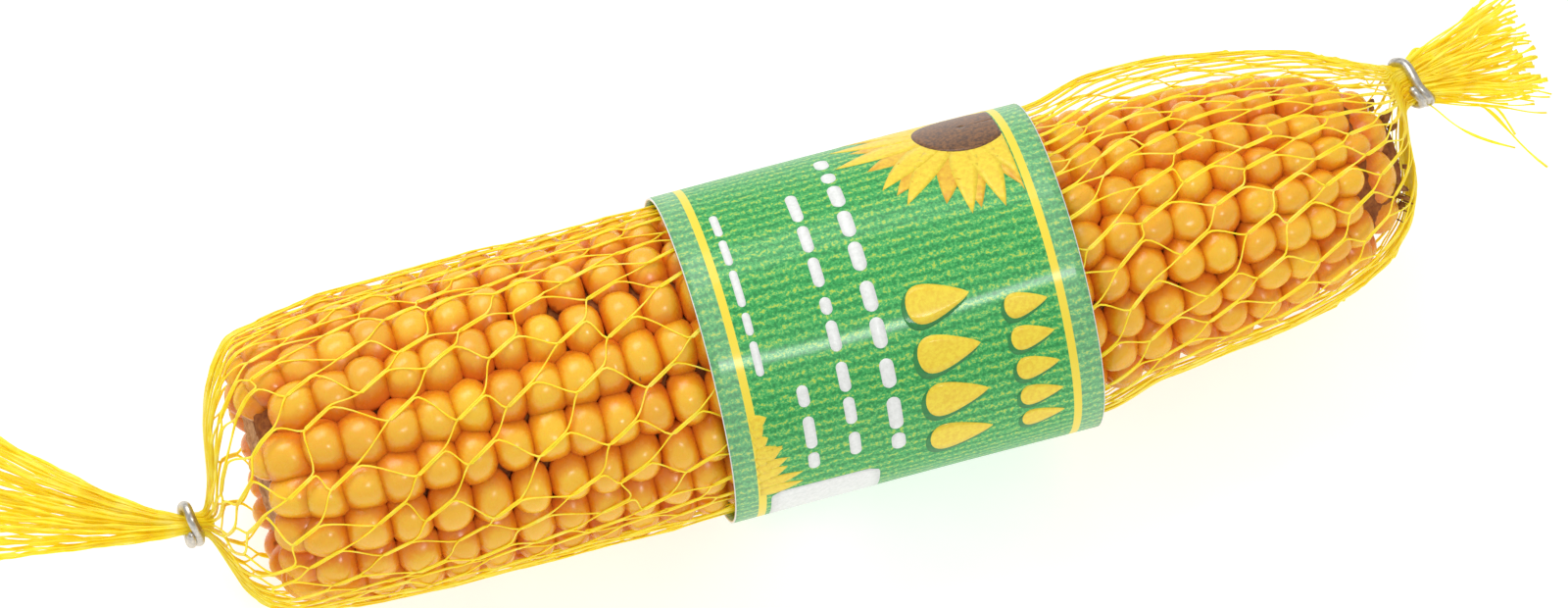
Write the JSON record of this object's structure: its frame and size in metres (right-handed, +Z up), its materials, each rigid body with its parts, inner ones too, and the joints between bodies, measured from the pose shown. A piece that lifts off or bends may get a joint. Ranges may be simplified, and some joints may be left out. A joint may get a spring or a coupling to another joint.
{
  "type": "dried corn cob in a net",
  "caption": "Dried maize ear with rows of kernels, in a gathered net tube closed by a wire clip at each end, with a round paper sleeve.",
  "frame": {"origin": "middle of the flat underneath the paper sleeve, on the surface that the pack rests on", "axes": "+X along the ear from its thick butt end to its tip, +Z up from the surface"},
  "size_m": [0.2465, 0.0498, 0.0491],
  "materials": {
    "cob": "dried maize kernels, satin, golden yellow with orange sides",
    "net": "extruded yellow polyethylene net, soft sheen",
    "sleeve": "printed green and varnished, glossy",
    "clip_butt_end": "bare drawn wire, dull silver",
    "clip_tip_end": "bare drawn wire, dull silver"
  },
  "bodies": {
    "root": {"cob": "cob", "net": "net", "sleeve": "sleeve", "clip_butt_end": "clip_butt_end", "clip_tip_end": "clip_tip_end"}
  },
  "joints": []
}
